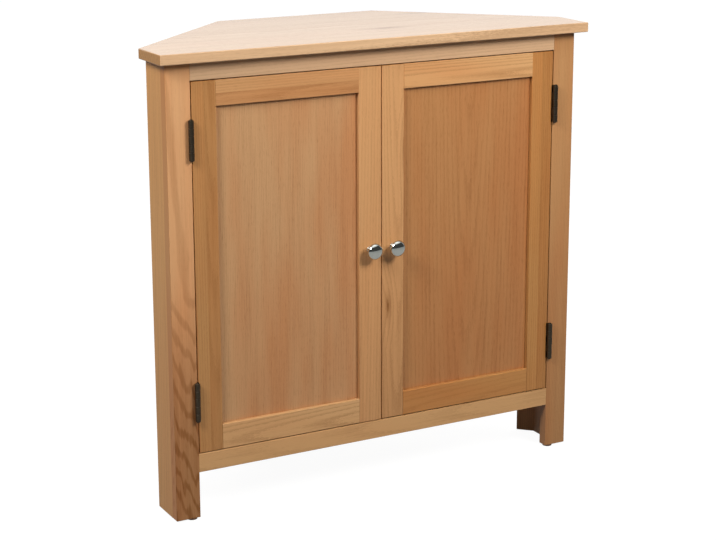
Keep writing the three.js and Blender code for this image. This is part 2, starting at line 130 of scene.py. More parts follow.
def merged_copy(node):
    """The node's mesh as a closed bmesh, with its flat faces whole again."""
    bm = bmesh.new()
    bm.from_mesh(frame["nodes"][node].data)
    bmesh.ops.remove_doubles(bm, verts=bm.verts, dist=SAME_POINT)
    bmesh.ops.dissolve_limit(bm, angle_limit=FLAT, verts=bm.verts, edges=bm.edges)
    return bm


def outward_edges(bm):
    """The edges that stick out sharply enough to be planed."""
    return [e for e in bm.edges if e.is_convex and e.calc_face_angle(0) > ARRIS_ANGLE]


def round_edges(bm, edges, radius, steps):
    """Bevels edges, and shades only the new faces smooth."""
    made = bmesh.ops.bevel(
        bm, geom=edges, offset=radius, offset_type="OFFSET", affect="EDGES",
        segments=steps, profile=0.5, material=-1, clamp_overlap=True)
    for face in made["faces"]:
        face.smooth = True


# %% [markdown]
# ## Helpers for materials
# A material is a small network of nodes. One function adds any node, sets its values and joins its
# sockets, so that the recipes below read as lists. A Mix node has sockets of the same name for each
# type, so they go by number: 2 and 3 take plain values, 6 and 7 take colours, and the mixed colour
# comes out at 2. Colours are written as the eye sees them, in sRGB, and turned to the linear values
# that the renderer wants.

# %% Material helpers
def linear(hex_colour, gain=1.0):
    """An sRGB hex colour as linear RGBA, made lighter or darker by gain."""
    values = [int(hex_colour[i:i + 2], 16) / 255 for i in (0, 2, 4)]
    curve = [c / 12.92 if c <= 0.04045 else ((c + 0.055) / 1.055) ** 2.4 for c in values]
    return (*(min(1.0, c * gain) for c in curve), 1.0)


def emptied_tree(owner):
    """The node tree of a material or a world, with nothing in it."""
    owner.use_nodes = True
    owner.node_tree.nodes.clear()
    return owner.node_tree


def new_material(name):
    """An empty material with a Principled shader wired to its output."""
    material = bpy.data.materials.new(name)
    tree = emptied_tree(material)
    shader = add(tree, "BsdfPrincipled")
    add(tree, "OutputMaterial", {"Surface": shader.outputs[0]})
    return material, tree, shader


def add(tree, kind, inputs=None, **settings):
    """Adds one node with its settings. A socket is linked, and any other value is set."""
    node = tree.nodes.new("ShaderNode" + kind)
    for name, value in settings.items():
        setattr(node, name, value)
    wire(tree, node, inputs or {})
    return node


def wire(tree, node, inputs):
    """Links each socket to an input of the node, and writes any other value into its input."""
    for name, value in inputs.items():
        if isinstance(value, bpy.types.NodeSocket):
            tree.links.new(value, node.inputs[name])
        else:
            node.inputs[name].default_value = value


# %% [markdown]
# ## Oak, and how a board is cut from it
# The whole case is European oak, planed, sanded and sealed with a satin lacquer. A board is a slice
# through a log. Its rings are nearly cylinders round the heart, so a Wave Texture in rings mode
# gives the straight lines of a board cut across the rings, and the arches of one cut beside them,
# from the same recipe: only the place and the lean of the heart differ. Every board has a slice of
# its own, because no two boards in a cupboard match. The defaults are an ordinary slice, in
# millimetres and degrees: heart is where the log's middle lies beside the board's, lean is how the
# log tips from it, ring is a ring's width, and waves, wander and curl are how it wavers. Arches,
# fibre and rosy say how strongly rings, fibres and red patches show. Edge is painted shade or
# painted light on the narrow faces, darker above zero and lighter below, and edge_tint paints them
# golden against the lacquer's grey reflection there.

# %% Oak shades and the ordinary cut
TURN = {
    "upright": (0, 0, 0),
    "side": (0, 0, pi / 2),
    "left wall": (0, 0, -pi / 4),
    "right wall": (0, 0, pi / 4),
    "rail": (0, pi / 2, 0),
    "left rail": (0, pi / 2, -pi / 4),
    "right rail": (0, pi / 2, pi / 4),
    "flat": (pi / 2, 0, pi / 2),
}
SHADES = {
    "pale": "c6a27c",
    "wheat": "c19d79",
    "straw": "bf9363",
    "biscuit": "c39367",
    "honey": "bb8b5c",
    "caramel": "ad7a45",
    "chestnut": "ab7c4b",
    "amber": "c4915a",
    "tan": "bf9465",
    "sand": "b1875e",
    "rose": "a97c50",
    "russet": "a57346",
}
SHADE_GAIN = 1.22
DARK_SHARES = (0.32, 0.21, 0.09)
ROSY_TINT, GOLDEN_TINT = "f3c4a0", "dcc080"
DEFAULTS = dict(
    heart=(6, 70), lean=(1.5, 0.3), ring=4.0, waves=2.5, wander=2.0, curl=18.0, arches=0.5,
    knots=(), strip=0, strip_share=0.3, foot=(0.0, 0.0), foot_waves=0.0, rosy=0.35, fibre=0.5,
    edge=0.0, edge_tint=0.0, coat=0.55, profile="SAW")
print("shades of oak:", len(SHADES))

# %% [markdown]
# ## Glued strips, knots and a crooked foot
# A door frame or a top is often glued up from strips, and each strip comes from another place in the
# log. White noise on the strip's number gives it that place and a tone of its own. A knot pushes the
# rings aside, which is a soft bump in the wave's phase, and is dark in its middle. Near the roots
# the trunk grows crooked, so the foot of an upright can have wavier rings. Some uprights are also
# made darker towards the bottom. The two ranges for a foot are heights from the board's middle, in
# metres.

# %% Strips, knots and foot
STRIP_JUMP = (0.05, 0.03, 0.9)
KNOT_DEPTH, SCAR_POWER = 0.2, 5.0
FOOT_DARKENS = {"From Min": 0.06, "From Max": -0.24}
FOOT_BENDS = {"From Min": 0.0, "From Max": -0.38}


def glued_strips(tree, board, width):
    """Gives each strip of the board its own place in the log. Returns the grain and the tones."""
    across = add(tree, "SeparateXYZ", {0: board})
    number = add(tree, "Math", {0: across.outputs[0], 1: width * MM}, operation="DIVIDE")
    whole = add(tree, "Math", {0: number.outputs[0]}, operation="FLOOR")
    strip = add(tree, "TexWhiteNoise", {"W": whole.outputs[0]}, noise_dimensions="1D")
    moved = add(tree, "VectorMath", {0: strip.outputs["Color"], 1: STRIP_JUMP, 2: board},
                operation="MULTIPLY_ADD")
    return moved.outputs[0], strip.outputs["Value"]


def crooked_foot(tree, board, rings, foot_waves, waves):
    """Returns how dark the board is towards its foot, and its rings' phase and waviness."""
    along = add(tree, "SeparateXYZ", {0: board})
    dark = add(tree, "MapRange", {"Value": along.outputs[2], **FOOT_DARKENS},
               interpolation_type="SMOOTHSTEP")
    phase = add(tree, "MapRange", {"Value": along.outputs[2], **FOOT_BENDS,
                                   "To Max": rings * 2 * pi})
    wavy = add(tree, "Math", {0: dark.outputs[0], 1: foot_waves, 2: waves},
               operation="MULTIPLY_ADD")
    return dark.outputs[0], phase.outputs[0], wavy.outputs[0]


def knotted(tree, board, knots, phase):
    """Pushes the rings aside round each knot. Returns their phase and the knots' dark middles."""
    scar = 0.0
    for across, along, wide, long, rings in knots:
        near = add(tree, "Mapping", {"Vector": board, "Location": (across * MM, 0, along * MM),
                                     "Scale": (wide * MM, KNOT_DEPTH, long * MM)},
                   vector_type="TEXTURE")
        bump = add(tree, "TexGradient", {0: near.outputs[0]}, gradient_type="SPHERICAL")
        phase = add(tree, "Math", {0: bump.outputs[1], 1: rings * 2 * pi, 2: phase},
                    operation="MULTIPLY_ADD").outputs[0]
        middle = add(tree, "Math", {0: bump.outputs[1], 1: SCAR_POWER}, operation="POWER")
        scar = add(tree, "Math", {0: middle.outputs[0], 1: scar}, operation="ADD").outputs[0]
    return phase, scar


# %% [markdown]
# ## Fibres and pores
# Between the rings, oak is full of marks that run with the grain, so each noise is stretched along
# the board. Its scale is the number of marks in a metre, across and along. Pores are real holes of
# 0.3 mm, too fine for a picture in which one dot is nearly 2 mm, so they are drawn about three
# times as coarse. Patches are where the wood is a little redder.

# %% Fibres and pores
NOISES = {
    "streaks": ((150, 150, 3), 2.0),
    "fibres": ((800, 800, 14), 3.0),
    "pores": ((1000, 1000, 70), 1.0),
    "patches": ((14, 14, 2.2), 2.0),
}
NOISE_ROUGHNESS = 0.55


def stretched_noises(tree, grain):
    """The noises that run with the grain, by name."""
    noises = {}
    for kind, (scale, detail) in NOISES.items():
        drawn = add(tree, "Mapping", {"Vector": grain, "Scale": scale})
        noise = add(tree, "TexNoise", {"Vector": drawn.outputs[0], "Scale": 1.0,
                                       "Detail": detail, "Roughness": NOISE_ROUGHNESS})
        noises[kind] = noise.outputs["Fac"]
    return noises


# %% [markdown]
# ## The oak recipe
# All marks are added up to one number, from 0 for pale wood to 1 for dark. Noise wavers about a
# half, so that much of it is taken off first. The number mixes the colour, dulls the lacquer and
# sinks the dark marks by up to a quarter of a millimetre, so that gloss breaks over the grain as it
# does on real oak. The figure changes slowly along a log, which is why the rings' space is squeezed
# that way. At a scale of 1 a wave has a ring in every 0.1 pi, so its scale follows from the real
# width of a ring. End grain takes a golden tint. The narrow faces that look across a board get
# painted shade or painted light by edge, and a painted golden tone by edge_tint.

# %% Oak recipe
ALONG_LOG = 0.12
WAVE_LENGTH = 0.1 * pi
EARLY_WOOD = 0.55
NOISE_MIDDLE = 0.5
DARKENS = {"rings": 0.30, "streaks": 0.40, "fibres": 0.60, "pores": 0.22, "scar": 0.8}
PORES = {"From Min": 0.56, "From Max": 0.72}
ROSY_PATCHES = {"From Min": 0.4, "From Max": 0.65}
SHEEN = {"To Min": 0.38, "To Max": 0.56}
RELIEF = {"Strength": 0.25, "Distance": 0.25 * MM}
LACQUER = {"IOR": 1.5, "Specular IOR Level": 0.1, "Coat Roughness": 0.22, "Coat IOR": 1.5}


def oak(name, centre, way, shade, **given):
    """A board's own oak, cut as the defaults say but for what is given."""
    cut = {**DEFAULTS, **given}
    material, tree, shader = new_material("lacquered_oak_" + name)
    here = add(tree, "TexCoord")
    board = add(tree, "Mapping", {"Vector": here.outputs["Object"], "Location": centre,
                                  "Rotation": TURN[way]}, vector_type="TEXTURE").outputs[0]
    grain, phase, waves, own_marks = board, 0.0, cut["waves"], []
    if cut["strip"]:
        grain, tones = glued_strips(tree, board, cut["strip"])
        own_marks.append((tones, cut["strip_share"]))
    # Towards its foot the board is made darker, and its rings may bend and waver more.
    if any(cut["foot"]):
        foot_share, foot_rings = cut["foot"]
        foot, phase, waves = crooked_foot(tree, board, foot_rings, cut["foot_waves"], waves)
        own_marks.append((foot, foot_share))
    phase, scar = knotted(tree, board, cut["knots"], phase)

    log = add(tree, "Mapping", {"Vector": grain, "Location": (*(h * MM for h in cut["heart"]), 0),
                                "Rotation": (*(radians(a) for a in cut["lean"]), 0)},
              vector_type="TEXTURE")
    squeezed = add(tree, "Mapping", {"Vector": log.outputs[0], "Scale": (1, 1, ALONG_LOG)})
    rings = add(tree, "TexWave", {
        "Vector": squeezed.outputs[0], "Scale": WAVE_LENGTH / (cut["ring"] * MM),
        "Distortion": waves, "Detail": cut["wander"], "Detail Scale": cut["curl"],
        "Phase Offset": phase}, wave_type="RINGS", rings_direction="Z", wave_profile=cut["profile"])
    early = add(tree, "MapRange", {"Value": rings.outputs["Fac"], "From Max": EARLY_WOOD,
                                   "To Min": 1.0, "To Max": 0.0}, interpolation_type="SMOOTHSTEP")
    noises = stretched_noises(tree, grain)
    pores = add(tree, "MapRange", {"Value": noises["pores"], **PORES})

    # Which way a face looks: the narrow faces across the board get painted shade or painted light,
    # and the end grain its real golden tint.
    facing = add(tree, "Mapping", {"Vector": here.outputs["Normal"], "Rotation": TURN[way]},
                 vector_type="TEXTURE")
    faces = add(tree, "SeparateXYZ", {0: facing.outputs[0]})
    edge, end_grain = [
        add(tree, "Math", {0: side, 1: side}, operation="MULTIPLY").outputs[0]
        for side in (faces.outputs[0], faces.outputs[2])]

    marks = [
        (early.outputs[0], DARKENS["rings"] * cut["arches"]),
        (noises["streaks"], DARKENS["streaks"]),
        (noises["fibres"], DARKENS["fibres"] * cut["fibre"]),
        (pores.outputs[0], DARKENS["pores"] * cut["fibre"]),
        (scar, DARKENS["scar"]),
        (edge, cut["edge"]),
        *own_marks,
    ]
    darkness = -NOISE_MIDDLE * (DARKENS["streaks"] + DARKENS["fibres"] * cut["fibre"])
    for mark, share in marks:
        darkness = add(tree, "Math", {0: mark, 1: share, 2: darkness},
                       operation="MULTIPLY_ADD").outputs[0]

    light = linear(SHADES[shade], SHADE_GAIN)
    dark = (*(value * share for value, share in zip(light, DARK_SHARES)), 1.0)
    tone = add(tree, "Mix", {0: darkness, 6: light, 7: dark}, data_type="RGBA")
    rosy = add(tree, "MapRange", {"Value": noises["patches"], **ROSY_PATCHES,
                                  "To Max": cut["rosy"]})
    warmed = add(tree, "Mix", {0: rosy.outputs[0], 6: tone.outputs[2], 7: linear(ROSY_TINT)},
                 data_type="RGBA", blend_type="MULTIPLY")
    # A painted golden tone on the narrow faces, against the lacquer's grey reflection there, and the
    # real golden tint of end grain.
    golden = add(tree, "Math", {0: edge, 1: cut["edge_tint"], 2: end_grain},
                 operation="MULTIPLY_ADD")
    wood = add(tree, "Mix", {0: golden.outputs[0], 6: warmed.outputs[2], 7: linear(GOLDEN_TINT)},
               data_type="RGBA", blend_type="MULTIPLY")
    sheen = add(tree, "MapRange", {"Value": darkness, **SHEEN})
    relief = add(tree, "Bump", {"Height": darkness, **RELIEF}, invert=True)
    wire(tree, shader, {"Base Color": wood.outputs[2], "Roughness": sheen.outputs[0],
                        "Normal": relief.outputs[0], "Coat Weight": cut["coat"], **LACQUER})
    return material


# %% [markdown]
# ## The boards
# The list says how each board was cut from its log, read off the real cupboard board by board: wide
# calm arches on the stiles, straight lines on the panels, narrow strips glued side by side in the
# top and the door frames. A table keeps this apart from the recipe, so that a board is changed in
# one line. A knot is given by its place across and along the board, its half width and half length,
# and the number of rings that it pushes aside. An edge that is glued to its neighbour stays sharp.

# %% Boards
# Edge and edge_tint paint the narrow faces: painted shade on the top's edges, painted light and a
# painted golden tone on the stiles' sides.
BOARDS = {
    "top_board": ("flat", "pale", dict(
        strip=67, heart=(0, 60), lean=(2, 0.5), ring=6, coat=0.9, arches=0.9, edge=0.09,
        strip_share=0.12, rosy=0.1, fibre=0.7,
        knots=[(95, 235, 45, 220, 5), (-60, 60, 40, 150, 4)])),
    "left_front_stile": ("upright", "biscuit", dict(
        heart=(25, 60), lean=(0.5, -3.0), ring=12, waves=1.0, wander=1.0, curl=4.0, arches=0.8,
        foot=(0.6, 7), foot_waves=4.0, edge=-0.7, edge_tint=0.55, coat=0.25, profile="SIN")),
    "right_front_stile": ("upright", "rose", dict(
        heart=(-90, 40), ring=3, foot=(0.12, 2), edge=-0.1)),
    "front_top_rail": ("rail", "wheat", dict(heart=(60, 40), rosy=0.1)),
    "front_bottom_rail": ("rail", "straw", dict(heart=(-5, 50), ring=5, rosy=0.1)),
    "left_side_board": ("side", "amber", dict(heart=(30, 60), rosy=0.15, coat=0.25)),
    "right_side_board": ("side", "honey", dict(heart=(-30, 60), ring=4)),
    "left_wall_panel": ("left wall", "honey", dict(strip=60, coat=0.25)),
    "right_wall_panel": ("right wall", "honey", dict(strip=60, coat=0.25)),
    "back_panel": ("upright", "honey", dict(strip=60, coat=0.25)),
    "floor_board": ("flat", "honey", dict(strip=60)),
    "shelf": ("flat", "honey", dict(strip=60)),
    "top_cleat_front": ("rail", "tan", {}),
    "top_cleat_back": ("rail", "tan", {}),
    "top_cleat_left": ("left rail", "tan", {}),
    "top_cleat_right": ("right rail", "tan", {}),
    "floor_cleat_back": ("rail", "tan", {}),
    "floor_cleat_left": ("left rail", "tan", {}),
    "floor_cleat_right": ("right rail", "tan", {}),
    "left_door_hinge_stile": ("upright", "chestnut", dict(strip=19, heart=(40, 40))),
    "left_door_meeting_stile": ("upright", "honey", dict(
        heart=(-60, 30), ring=5, foot=(0.1, 0), rosy=0.15)),
    "left_door_top_rail": ("rail", "honey", dict(strip=21, heart=(40, 40), strip_share=0.5)),
    "left_door_bottom_rail": ("rail", "tan", dict(heart=(10, 25), arches=1, rosy=0.15)),
    "left_door_panel": ("upright", "sand", dict(heart=(300, 80), ring=3, fibre=1.0, rosy=0.5)),
    "right_door_hinge_stile": ("upright", "caramel", dict(
        strip=22, heart=(-50, 40), strip_share=0.42)),
    "right_door_meeting_stile": ("upright", "honey", dict(
        heart=(10, 20), arches=0.7, foot=(0.2, 0), rosy=0.1,
        knots=[(-9, -106, 20, 80, 2), (22, 165, 14, 110, 2)])),
    "right_door_top_rail": ("rail", "straw", dict(
        heart=(10, 30), lean=(0.4, 0.6), arches=1, ring=2.4, waves=1.5)),
    "right_door_bottom_rail": ("rail", "caramel", dict(heart=(20, 40))),
    "right_door_panel": ("upright", "russet", dict(
        heart=(5, 30), lean=(3.0, 0.3), ring=7, arches=0.55, fibre=1.0)),
}
ARRIS = 0.9 * MM
TOP_ARRIS = 0.5 * MM
ARRIS_STEPS = 2
TOUCHING = 0.5 * MM


def surfaces_of(nodes):
    """One search tree for each node's faces."""
    meshes = {node: frame["nodes"][node].data for node in nodes}
    return {node: BVHTree.FromPolygons([v.co for v in mesh.vertices],
                                       [face.vertices for face in mesh.polygons])
            for node, mesh in meshes.items()}


def is_glued(edge, others):
    """Whether a board of the same body lies against the middle of this edge."""
    middle = (edge.verts[0].co + edge.verts[1].co) / 2
    return any(tree.find_nearest(middle, TOUCHING)[0] for tree in others)


surfaces = surfaces_of(BOARDS)
glued_count = 0
for node, (way, shade, cut) in BOARDS.items():
    low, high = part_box(node)
    wood = oak(node, (low + high) / 2, way, shade, **cut)
    others = [surfaces[n] for n in BOARDS if n != node and body_of(n) == body_of(node)]
    bm = merged_copy(node)
    edges = outward_edges(bm)
    glued = [edge for edge in edges if is_glued(edge, others)]
    free = [edge for edge in edges if edge not in glued]
    round_edges(bm, free, TOP_ARRIS if node == "top_board" else ARRIS, ARRIS_STEPS)
    keep(bm, node, "_finished", wood)
    glued_count += len(glued)
print("boards:", len(BOARDS), "glued edges left sharp:", glued_count)

# %% [markdown]
# ## Chrome, steel, zinc and plastic
# The knobs are cast zinc, polished and chromed: a mirror, a little greyer than what it shows. The
# butt hinges, with their pins and screws, are steel with a dark bronzed finish, never quite even.
# Knob screws, shelf pins and strike plates are zinc plated, with the cloudy grey of the plating
# bath. The catches are brown moulded plastic, the glides a tan nylon that slides well, and the
# magnets ferrite, a dull black ceramic. Small pieces still get a fine noise in their gloss, because
# an even surface looks like no material at all.

# %% Metals and plastic
METAL, NOT_METAL = 1.0, 0.0
FINE_NOISE = {"Detail": 4.0, "Roughness": 0.6}
GLOSS_CHANGES = {"From Min": 0.3, "From Max": 0.7}
FINE_RELIEF = 0.1 * MM


def fine_finish(name, metallic, dark, light, grain, rough, uneven, bump):
    """A finish that varies between two colours and two roughnesses over a grain in millimetres."""
    material, tree, shader = new_material(name)
    here = add(tree, "TexCoord")
    spread = add(tree, "TexNoise", {"Vector": here.outputs["Object"], "Scale": 1 / (grain * MM),
                                    **FINE_NOISE})
    colour = add(tree, "Mix", {0: spread.outputs["Fac"], 6: linear(dark), 7: linear(light)},
                 data_type="RGBA")
    gloss = add(tree, "MapRange", {"Value": spread.outputs["Fac"], **GLOSS_CHANGES,
                                   "To Min": rough, "To Max": rough + uneven})
    relief = add(tree, "Bump", {"Height": spread.outputs["Fac"], "Strength": bump,
                                "Distance": FINE_RELIEF})
    wire(tree, shader, {"Base Color": colour.outputs[2], "Metallic": metallic,
                        "Roughness": gloss.outputs[0], "Normal": relief.outputs[0]})
    return material


CHROME = fine_finish("polished_chrome_plate", METAL, dark="c4c9c4", light="d9ddd6",
                     grain=9, rough=0.05, uneven=0.05, bump=0.02)
BRONZED = fine_finish("bronzed_hinge_steel", METAL, dark="433c31", light="645a4c",
                      grain=3, rough=0.34, uneven=0.16, bump=0.1)
ZINC = fine_finish("bright_zinc_plate", METAL, dark="a9a8a2", light="c9c8c2",
                   grain=2, rough=0.28, uneven=0.15, bump=0.1)
PLASTIC = fine_finish("moulded_brown_plastic", NOT_METAL, dark="4a3423", light="59402c",
                      grain=0.8, rough=0.45, uneven=0.12, bump=0.3)
NYLON = fine_finish("moulded_tan_nylon", NOT_METAL, dark="735038", light="8a664b",
                    grain=0.8, rough=0.45, uneven=0.12, bump=0.3)
FERRITE = fine_finish("sintered_ferrite", NOT_METAL, dark="2a2a2b", light="3a3a3b",
                      grain=0.6, rough=0.6, uneven=0.2, bump=0.4)
print("finishes:", [each.name for each in (CHROME, BRONZED, ZINC, PLASTIC, NYLON, FERRITE)])

# %% [markdown]
# ## Turning
# Knobs, screws, pins and glides are round, as a lathe makes them. Half of the section is drawn as a
# row of points and spun once round the upright axis, and the spin is told to merge its seam. Points
# on the axis fall together and are merged too, so that the ends are closed.

# %% Turning helpers
SAME_TURNED_POINT = 0.01 * MM
SMOOTH_ANGLE = radians(32)


def turn(bm, profile, steps):
    """Spins a profile of (radius, height) points about Z, and returns the new vertices."""
    before = set(bm.verts)
    points = [bm.verts.new((radius, 0, height)) for radius, height in profile]
    edges = [bm.edges.new(pair) for pair in zip(points, points[1:])]
    bmesh.ops.spin(
        bm, geom=points + edges, axis=(0, 0, 1), cent=(0, 0, 0), angle=2 * pi, steps=steps,
        use_merge=True, use_duplicate=False)
    made = [v for v in bm.verts if v not in before]
    bmesh.ops.remove_doubles(bm, verts=made, dist=SAME_TURNED_POINT)
    return [v for v in bm.verts if v not in before]


def place(bm, verts, where, tilt=(0, 0, 0)):
    """Tilts vertices about the origin, and then moves them."""
    bmesh.ops.rotate(bm, verts=verts, cent=(0, 0, 0), matrix=Euler(tilt).to_matrix())
    bmesh.ops.translate(bm, verts=verts, vec=where)


def tidy(bm):
    """Points the faces outwards, and shades them smooth but for the sharp edges."""
    bmesh.ops.recalc_face_normals(bm, faces=bm.faces)
    for face in bm.faces:
        face.smooth = True
    for edge in bm.edges:
        edge.smooth = edge.calc_face_angle(pi) < SMOOTH_ANGLE


def turned_piece(node, outline, steps, base, material):
    """Spins an outline in millimetres, upright on its base, in the place of a node."""
    bm = bmesh.new()
    verts = turn(bm, [(radius * MM, height * MM) for radius, height in outline], steps)
    place(bm, verts, base)
    tidy(bm)
    keep(bm, node, "_turned", material)


# %% [markdown]
# ## Knobs
# A knob is a turned part: a small foot, a waist and a flat-domed head with a soft rim. Half of its
# outline is drawn with Bezier curves, and a spin makes the solid from it. The foot lies on the
# door, and the knob's screw comes through the stile from behind.

# %% Knobs
KNOB_STEPS = 64
CURVE_POINTS = 9
KNOB_CURVES = [
    ((0, 0), (2, 0), (4, 0), (6.0, 0)),  # under the foot
    ((6.0, 0), (6.6, 0), (6.6, 1.6), (6.2, 1.7)),  # the foot's round edge
    ((6.2, 1.7), (4.9, 2.2), (4.2, 4.5), (4.2, 8)),  # up to the waist
    ((4.2, 8), (4.2, 10.5), (6, 12.4), (9.5, 13.0)),  # out under the head
    ((9.5, 13.0), (12.6, 13.4), (14, 15.0), (14, 17)),  # the soft rim
    ((14, 17), (14, 21.6), (7.8, 25), (0, 25)),  # the flat dome
]


def knob_outline():
    """Half of the knob's section, from the foot's middle to the head's, in metres."""
    points = []
    for curve in KNOB_CURVES:
        corners = [Vector((radius, height, 0)) * MM for radius, height in curve]
        points += interpolate_bezier(*corners, CURVE_POINTS)[1 if points else 0:]
    return [(max(0.0, point.x), point.y) for point in points]


for side in SIDES:
    node = side + "_knob"
    low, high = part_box(node)
    bm = bmesh.new()
    verts = turn(bm, knob_outline(), KNOB_STEPS)
    place(bm, verts, ((low.x + high.x) / 2, high.y, (low.z + high.z) / 2), (pi / 2, 0, 0))
    tidy(bm)
    keep(bm, node, "_turned", CHROME)
print("knob outline:", len(knob_outline()), "points")

# %% [markdown]
# ## Screws and glides
# A screw's outline stops at the rim of its recess. A second ring, with its points drawn in towards
# a cross, is bridged to that rim and then pushed down into the head, a little narrower at the
# bottom, as the driver's tip is. A glide is a round pad with a soft lower rim.

# %% Screw helpers
CROSS_STEPS = 24
CROSS_NOTCHES = (2, 3, 4)
CROSS_SHARE, NOTCH_SHARE, BOTTOM_SHARE = 0.96, 0.42, 0.75
HEAD_DEPTH, RECESS_RIM = 0.7, 0.6


def screw(bm, outline, depth, where, tilt):
    """Spins an outline in mm that ends at the recess, and sinks a cross recess there."""
    radius, top = (value * MM for value in outline[-1])
    verts = turn(bm, [(r * MM, height * MM) for r, height in outline], CROSS_STEPS)
    rim_edges = [e for e in bm.edges if e.is_boundary and e.verts[0] in verts]
    cross = bmesh.ops.create_circle(bm, segments=CROSS_STEPS, radius=radius * CROSS_SHARE)["verts"]
    for index, vert in enumerate(cross):
        if index % (CROSS_STEPS // 4) in CROSS_NOTCHES:
            vert.co *= NOTCH_SHARE
    bmesh.ops.translate(bm, verts=cross, vec=(0, 0, top))
    cross_edges = [e for e in bm.edges if e.verts[0] in cross and e.verts[1] in cross]
    bmesh.ops.bridge_loops(bm, edges=rim_edges + cross_edges)
    sunk = bmesh.ops.extrude_edge_only(bm, edges=cross_edges)["geom"]
    bottom = [v for v in sunk if isinstance(v, bmesh.types.BMVert)]
    bmesh.ops.translate(bm, verts=bottom, vec=(0, 0, -depth * MM))
    bmesh.ops.scale(bm, verts=bottom, vec=(BOTTOM_SHARE, BOTTOM_SHARE, 1))
    bmesh.ops.contextual_create(bm, geom=bottom)
    place(bm, verts + cross + bottom, where, tilt)


def countersunk(radius, rise):
    """A countersunk head, from its hidden underside to the rim of the recess."""
    return [(0, -HEAD_DEPTH), (radius * RECESS_RIM, -HEAD_DEPTH), (radius, 0),
            (radius * RECESS_RIM, rise)]


def knob_screw(length):
    """A 4 mm machine screw with a pan head, from its tip to the rim of the recess."""
    return [(0, -length), (1.2, -length), (2, 1 - length), (2, -2.4), (4.2, -2.4), (4.2, -1.4),
            (3.8, -0.5), (2.9, 0)]


def glide(radius, height):
    """A glide's outline, from the middle of its foot to the middle of its top."""
    return [(0, 0), (radius - 1, 0), (radius - 0.3, 0.3), (radius, 1), (radius, height),
            (0, height)]


# %% Screws and glides
GLIDE_STEPS = 40
FACING_BACK = (-pi / 2, 0, 0)
for side in SIDES:
    node = side + "_knob_screw"
    low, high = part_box(node)
    middle, length = (low + high) / 2, (high.y - low.y) / MM
    bm = bmesh.new()
    screw(bm, knob_screw(length), depth=1.2, where=(middle.x, high.y, middle.z),
          tilt=FACING_BACK)
    tidy(bm)
    keep(bm, node, "_turned", ZINC)
    for where in ("front", "back"):
        node = f"{side}_{where}_glide"
        low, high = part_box(node)
        middle, radius = (low + high) / 2, (high.x - low.x) / 2 / MM
        height = (high.z - low.z) / MM
        turned_piece(node, glide(radius, height), GLIDE_STEPS, (middle.x, middle.y, low.z), NYLON)
    node = side + "_strike_plate"
    low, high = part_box(node)
    middle = (low + high) / 2
    bm = bmesh.new()
    screw(bm, countersunk(radius=3, rise=0.15), depth=0.5, where=(middle.x, high.y, middle.z),
          tilt=FACING_BACK)
    tidy(bm)
    keep(bm, node, "_screw", ZINC, takes_place=False)
    print(side, "knob screw:", round(length, 1), "mm long")

# %% [markdown]
# ## Small pieces that keep their shape
# A shelf pin is a short zinc-plated rod, a strike plate is punched from sheet, a catch's housing is
# moulded and its magnet is pressed and sintered. The frame already holds their true shapes, so each
# one only gets its finish and the soft edges that its making leaves. The moulding has the widest,
# because plastic doesn't fill a sharp corner of its mould. The table gives the edge's radius in
# millimetres, its number of steps and the finish.

# %% Pins, plates, housings and magnets
EASED = {
    "front_shelf_pin": (0.3, 2, ZINC),
    "back_shelf_pin": (0.3, 2, ZINC),
    "strike_plate": (0.25, 2, ZINC),
    "catch_housing": (0.8, 3, PLASTIC),
    "catch_magnet": (0.4, 2, FERRITE),
}
for side in SIDES:
    for ending, (radius, steps, finish) in EASED.items():
        node = f"{side}_{ending}"
        bm = merged_copy(node)
        round_edges(bm, outward_edges(bm), radius * MM, steps)
        keep(bm, node, "_finished", finish)
print("small pieces with eased edges:", len(SIDES) * len(EASED))

# %% [markdown]
# ## Butt hinges
# A butt hinge is cut from steel strip. Each leaf ends in knuckles rolled round the pin, three on
# the frame's leaf and two on the door's, and three countersunk screws hold a leaf in its recess.
# The knuckles are spun as rings with eased ends, so that each one shows as a bead, and the plates
# are beveled blocks that reach into their own knuckles only.

# %% Butt hinge helpers
KNUCKLES = 5
KNUCKLE_GAP = 0.3 * MM
KNUCKLE_RADIUS, BORE_RADIUS = 4.5 * MM, 1.78 * MM
KNUCKLE_EASE = 0.5 * MM
KNUCKLE_STEPS = 48
LEAF_THICKNESS = 1.2 * MM
LEAF_EASE, LEAF_EASE_STEPS = 0.25 * MM, 2
SCREW_SHARES = (0.185, 0.5, 0.815)


def ring(bm, axis, low, high):
    """One knuckle, a ring round the pin."""
    outline = [
        (BORE_RADIUS, low), (KNUCKLE_RADIUS - KNUCKLE_EASE, low),
        (KNUCKLE_RADIUS, low + KNUCKLE_EASE), (KNUCKLE_RADIUS, high - KNUCKLE_EASE),
        (KNUCKLE_RADIUS - KNUCKLE_EASE, high), (BORE_RADIUS, high), (BORE_RADIUS, low)]
    place(bm, turn(bm, outline, KNUCKLE_STEPS), (axis.x, axis.y, 0))


def block(bm, xs, ys, zs):
    """A box between three pairs of bounds, with the eased edges of a leaf."""
    verts = bmesh.ops.create_cube(bm, size=1)["verts"]
    size = [abs(b - a) for a, b in (xs, ys, zs)]
    bmesh.ops.scale(bm, verts=verts, vec=size)
    bmesh.ops.translate(bm, verts=verts, vec=[(a + b) / 2 for a, b in (xs, ys, zs)])
    round_edges(bm, list({e for v in verts for e in v.link_edges}), LEAF_EASE, LEAF_EASE_STEPS)


